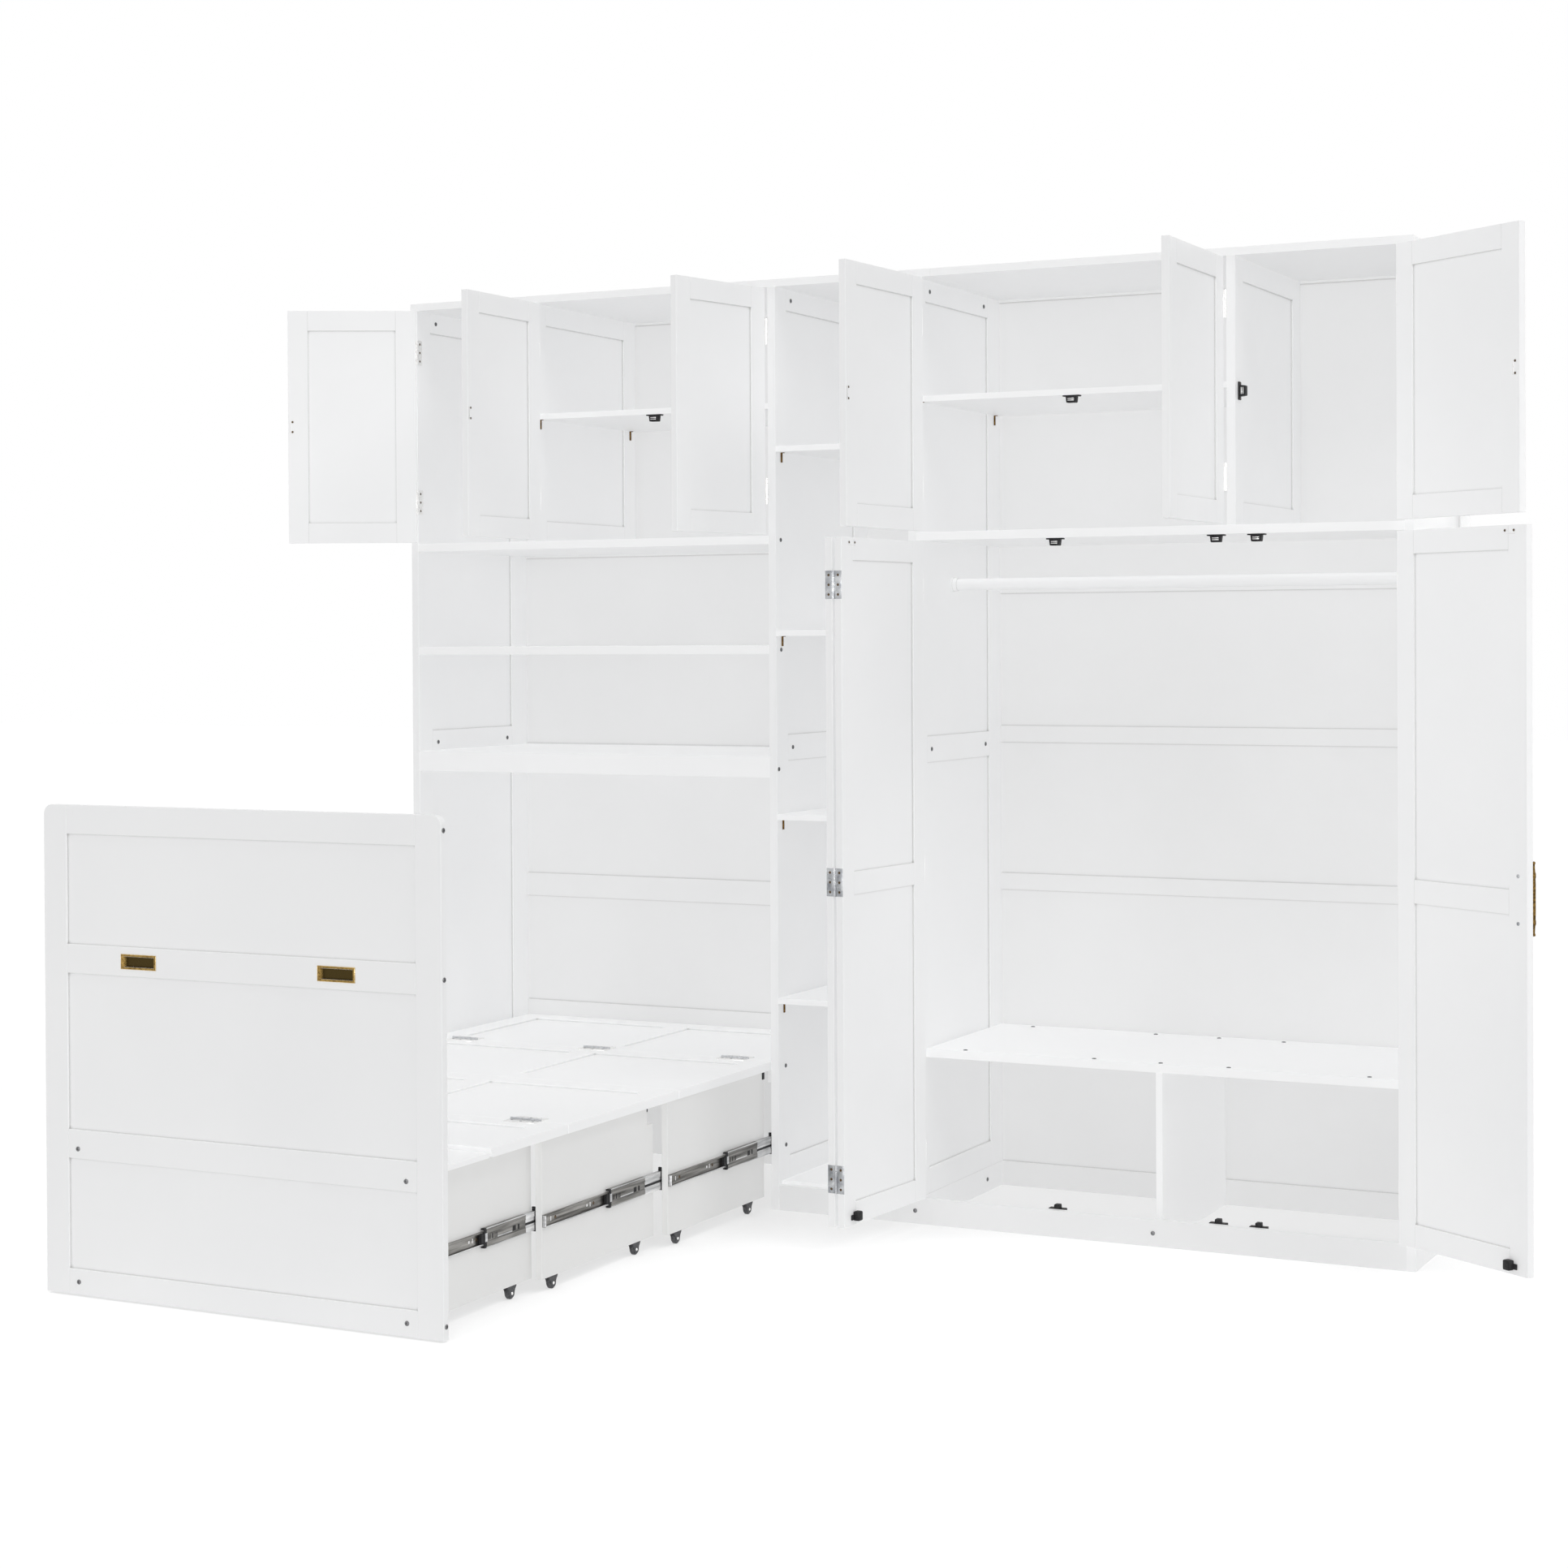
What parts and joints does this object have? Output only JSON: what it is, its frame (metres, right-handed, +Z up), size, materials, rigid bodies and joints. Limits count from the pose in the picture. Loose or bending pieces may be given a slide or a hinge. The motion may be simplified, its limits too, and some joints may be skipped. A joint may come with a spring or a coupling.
{
  "type": "wall bed",
  "caption": "White wall unit with cupboards, open shelves and a wardrobe, and a single bed that slides out on casters while its deck unfolds.",
  "frame": {"origin": "on the floor at the middle of the unit's width, at the front edge of the carcass", "axes": "+X along the wall to the right, +Y towards the wall, +Z up"},
  "size_m": [3.1042, 1.9285, 2.21],
  "materials": {
    "white_paint": "satin white paint",
    "zinc_steel": "zinc plated",
    "aged_brass": "aged brass",
    "black_plastic": "matte black",
    "dark_caster": "dark grey",
    "bolt_steel": "plain steel"
  },
  "bodies": {
    "cabinet": {"left_side_panel": "white_paint", "bed_tower_divider": "white_paint", "tower_wardrobe_panel": "white_paint", "right_side_panel": "white_paint", "top_boards": "white_paint", "plinth": "white_paint", "bed_bay_back": "white_paint", "tower_back": "white_paint", "wardrobe_back": "white_paint", "cabinet_floors": "white_paint", "cabinet_dividers": "white_paint", "cabinet_shelves": "white_paint", "bay_open_shelf": "white_paint", "desk_board": "white_paint", "tower_shelves": "white_paint", "bench_shelf": "white_paint", "bench_divider": "white_paint", "hanging_rod": "white_paint", "bay_cleats": "white_paint", "shelf_pins": "aged_brass", "magnet_catches": "black_plastic", "cabinet_bolts": "bolt_steel", "door_hinges": "zinc_steel", "cabinet_slide_rails": "zinc_steel", "deck_board_a": "white_paint", "deck_hinges_a": "zinc_steel"},
    "upper_door_1": {"upper_door_1": "white_paint"},
    "upper_door_2": {"upper_door_2": "white_paint"},
    "upper_door_3": {"upper_door_3": "white_paint"},
    "upper_door_4": {"upper_door_4": "white_paint"},
    "upper_door_5": {"upper_door_5": "white_paint"},
    "upper_door_6": {"upper_door_6": "white_paint"},
    "leaf_a": {"wardrobe_leaf_a": "white_paint", "bifold_hinges": "zinc_steel"},
    "leaf_b": {"wardrobe_leaf_b": "white_paint"},
    "leaf_c": {"wardrobe_leaf_c": "white_paint", "bar_handle": "aged_brass"},
    "section_3": {"section_3_frame": "white_paint", "section_3_hardware": "zinc_steel"},
    "section_2": {"section_2_frame": "white_paint", "section_2_hardware": "zinc_steel"},
    "section_1": {"section_1_frame": "white_paint", "section_1_hardware": "zinc_steel", "footboard": "white_paint", "flush_pulls": "aged_brass", "footboard_bolts": "bolt_steel"},
    "middle_slides_3": {"middle_slides_3": "zinc_steel"},
    "middle_slides_2": {"middle_slides_2": "zinc_steel"},
    "middle_slides_1": {"middle_slides_1": "zinc_steel"},
    "deck_b": {"deck_board_b": "white_paint", "deck_hinges_b": "zinc_steel"},
    "deck_c": {"deck_board_c": "white_paint", "deck_hinges_c": "zinc_steel"},
    "deck_d": {"deck_board_d": "white_paint", "deck_hinges_d": "zinc_steel"},
    "wheels_1_rear": {"wheels_1_rear": "dark_caster"},
    "wheels_2_front": {"wheels_2_front": "dark_caster"},
    "wheels_2_rear": {"wheels_2_rear": "dark_caster"},
    "wheels_3_front": {"wheels_3_front": "dark_caster"},
    "wheels_3_rear": {"wheels_3_rear": "dark_caster"}
  },
  "joints": [
    {"name": "upper_door_1_swing", "type": "hinge", "parent": "cabinet", "child": "upper_door_1", "pos_m": [-1.2555, -0.0035, 1.8975], "axis": [0, 0, -1], "range_deg": [-151.5, 13.5]},
    {"name": "upper_door_2_swing", "type": "hinge", "parent": "cabinet", "child": "upper_door_2", "pos_m": [-0.91083, -0.0035, 1.8975], "axis": [0, 0, -1], "range_deg": [-90.5, 14.5]},
    {"name": "upper_door_3_swing", "type": "hinge", "parent": "cabinet", "child": "upper_door_3", "pos_m": [-0.2635, -0.0035, 1.8975], "axis": [0, 0, 1], "range_deg": [-78, 27]},
    {"name": "upper_door_4_swing", "type": "hinge", "parent": "cabinet", "child": "upper_door_4", "pos_m": [0.1215, -0.0035, 1.8975], "axis": [0, 0, -1], "range_deg": [-93.5, 11.5]},
    {"name": "upper_door_5_swing", "type": "hinge", "parent": "cabinet", "child": "upper_door_5", "pos_m": [0.8635, -0.0035, 1.8975], "axis": [0, 0, 1], "range_deg": [-90, 15]},
    {"name": "upper_door_6_swing", "type": "hinge", "parent": "cabinet", "child": "upper_door_6", "pos_m": [1.2555, -0.0035, 1.8975], "axis": [0, 0, 1], "range_deg": [-145, 20]},
    {"name": "leaf_a_swing", "type": "hinge", "parent": "cabinet", "child": "leaf_a", "pos_m": [0.1215, -0.0035, 0.8215], "axis": [0, 0, -1], "range_deg": [-95, 0]},
    {"name": "leaf_b_fold", "type": "hinge", "parent": "leaf_a", "child": "leaf_b", "pos_m": [0.08858, -0.37973, 0.8215], "axis": [0, 0, -1], "range_deg": [-180, 0]},
    {"name": "leaf_c_swing", "type": "hinge", "parent": "cabinet", "child": "leaf_c", "pos_m": [1.2555, -0.0035, 0.8215], "axis": [0, 0, 1], "range_deg": [-146.5, 18.5]},
    {"name": "section_3_slide", "type": "slide", "parent": "cabinet", "child": "section_3", "axis": [0, 1, 0], "range_m": [0, 0.491]},
    {"name": "section_2_slide", "type": "slide", "parent": "section_3", "child": "section_2", "axis": [0, 1, 0], "range_m": [0, 0.49]},
    {"name": "section_1_slide", "type": "slide", "parent": "section_2", "child": "section_1", "axis": [0, 1, 0], "range_m": [0, 0.416]},
    {"name": "middle_3_slide", "type": "slide", "parent": "cabinet", "child": "middle_slides_3", "axis": [0, 1, 0], "range_m": [0, 0.2455]},
    {"name": "middle_2_slide", "type": "slide", "parent": "section_3", "child": "middle_slides_2", "axis": [0, 1, 0], "range_m": [0, 0.245]},
    {"name": "middle_1_slide", "type": "slide", "parent": "section_2", "child": "middle_slides_1", "axis": [0, 1, 0], "range_m": [0, 0.208]},
    {"name": "deck_b_fold", "type": "hinge", "parent": "cabinet", "child": "deck_b", "pos_m": [-0.7595, 0.03, 0.352], "axis": [-1, 0, 0], "range_deg": [0, 180]},
    {"name": "deck_c_fold", "type": "hinge", "parent": "deck_b", "child": "deck_c", "pos_m": [-0.7595, -0.44, 0.326], "axis": [1, 0, 0], "range_deg": [0, 180]},
    {"name": "deck_d_fold", "type": "hinge", "parent": "deck_c", "child": "deck_d", "pos_m": [-0.7595, -0.92, 0.352], "axis": [-1, 0, 0], "range_deg": [0, 180]},
    {"name": "wheels_1_rear_spin", "type": "hinge", "parent": "section_1", "child": "wheels_1_rear", "pos_m": [-0.7595, -1.032, 0.012], "axis": [1, 0, 0], "continuous": true},
    {"name": "wheels_2_front_spin", "type": "hinge", "parent": "section_2", "child": "wheels_2_front", "pos_m": [-0.7595, -0.914, 0.012], "axis": [1, 0, 0], "continuous": true},
    {"name": "wheels_2_rear_spin", "type": "hinge", "parent": "section_2", "child": "wheels_2_rear", "pos_m": [-0.7595, -0.562, 0.012], "axis": [1, 0, 0], "continuous": true},
    {"name": "wheels_3_front_spin", "type": "hinge", "parent": "section_3", "child": "wheels_3_front", "pos_m": [-0.7595, -0.424, 0.012], "axis": [1, 0, 0], "continuous": true},
    {"name": "wheels_3_rear_spin", "type": "hinge", "parent": "section_3", "child": "wheels_3_rear", "pos_m": [-0.7595, -0.072, 0.012], "axis": [1, 0, 0], "continuous": true}
  ],
  "couplings": [
    {"joint": "leaf_b_fold", "follows": "leaf_a_swing", "ratio": 1.8947},
    {"joint": "section_2_slide", "follows": "section_3_slide", "ratio": 0.99796},
    {"joint": "section_1_slide", "follows": "section_3_slide", "ratio": 0.84725},
    {"joint": "middle_3_slide", "follows": "section_3_slide", "ratio": 0.5},
    {"joint": "middle_2_slide", "follows": "section_3_slide", "ratio": 0.49898},
    {"joint": "middle_1_slide", "follows": "section_3_slide", "ratio": 0.42362},
    {"joint": "deck_b_fold", "follows": "section_3_slide", "rad_per_m": 6.3983},
    {"joint": "deck_c_fold", "follows": "section_3_slide", "rad_per_m": 6.3983},
    {"joint": "deck_d_fold", "follows": "section_3_slide", "rad_per_m": 6.3983}
  ]
}
